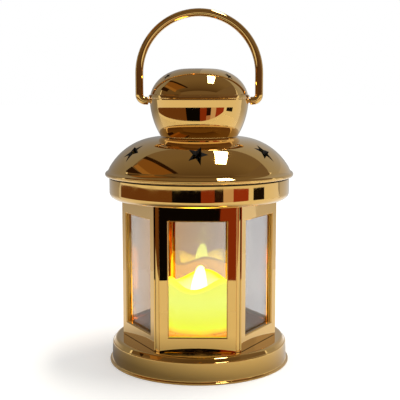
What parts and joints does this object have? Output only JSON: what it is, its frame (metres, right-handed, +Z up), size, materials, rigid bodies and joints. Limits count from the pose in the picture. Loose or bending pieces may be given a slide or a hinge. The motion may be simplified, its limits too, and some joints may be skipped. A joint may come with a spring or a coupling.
{
  "type": "rorate lantern",
  "caption": "Small electric candle lantern with a round base, a six-sided glazed cage, a star-pierced roof, a bulbous cap and a swinging bail.",
  "frame": {"origin": "on the lantern's axis, at the plane that the base stands on", "axes": "+Z up along the lantern's axis, -Y towards the front window, X along the bail's pivot axis"},
  "size_m": [0.0774, 0.0774, 0.1451],
  "materials": {
    "gold_plating": "vacuum-metallised gold, mirror-bright",
    "dark_plastic": "moulded black, fine grain",
    "clear_sheet": "clear sheet, polished",
    "wax_plastic": "translucent ivory, lit from inside",
    "flame_plastic": "translucent, lit from inside",
    "lamp_epoxy": "moulded epoxy",
    "board_laminate": "solder mask",
    "nickel_steel": "nickel-plated",
    "switch_plastic": "moulded, satin"
  },
  "bodies": {
    "lantern": {"base_shell": "gold_plating", "battery_door": "dark_plastic", "bottom_cover": "dark_plastic", "candle_collar": "gold_plating", "candle_shell": "wax_plastic", "cap_bowl": "gold_plating", "cap_lid": "gold_plating", "circuit_board": "board_laminate", "coin_cell": "nickel_steel", "contact_centre": "nickel_steel", "contact_side": "nickel_steel", "corner_post_1": "gold_plating", "corner_post_2": "gold_plating", "corner_post_3": "gold_plating", "corner_post_4": "gold_plating", "corner_post_5": "gold_plating", "corner_post_6": "gold_plating", "cover_screw_1": "nickel_steel", "cover_screw_2": "nickel_steel", "cover_screw_3": "nickel_steel", "door_screw": "nickel_steel", "flame_diffuser": "flame_plastic", "lamp": "lamp_epoxy", "light_unit": "dark_plastic", "pane_1": "clear_sheet", "pane_2": "clear_sheet", "pane_3": "clear_sheet", "pane_4": "clear_sheet", "pane_5": "clear_sheet", "pane_6": "clear_sheet", "roof_band": "gold_plating", "roof_dome": "gold_plating", "switch_body": "dark_plastic", "window_frame_1": "gold_plating", "window_frame_2": "gold_plating", "window_frame_3": "gold_plating", "window_frame_4": "gold_plating", "window_frame_5": "gold_plating", "window_frame_6": "gold_plating"},
    "bail": {"bail_handle": "gold_plating"},
    "slider": {"switch_slider": "switch_plastic"}
  },
  "joints": [
    {"name": "bail_swing", "type": "hinge", "parent": "lantern", "child": "bail", "pos_m": [0, 0, 0.1079], "axis": [1, 0, 0], "range_deg": [-118, 118]},
    {"name": "switch_slide", "type": "slide", "parent": "lantern", "child": "slider", "axis": [1, 0, 0], "range_m": [0, 0.002]}
  ]
}
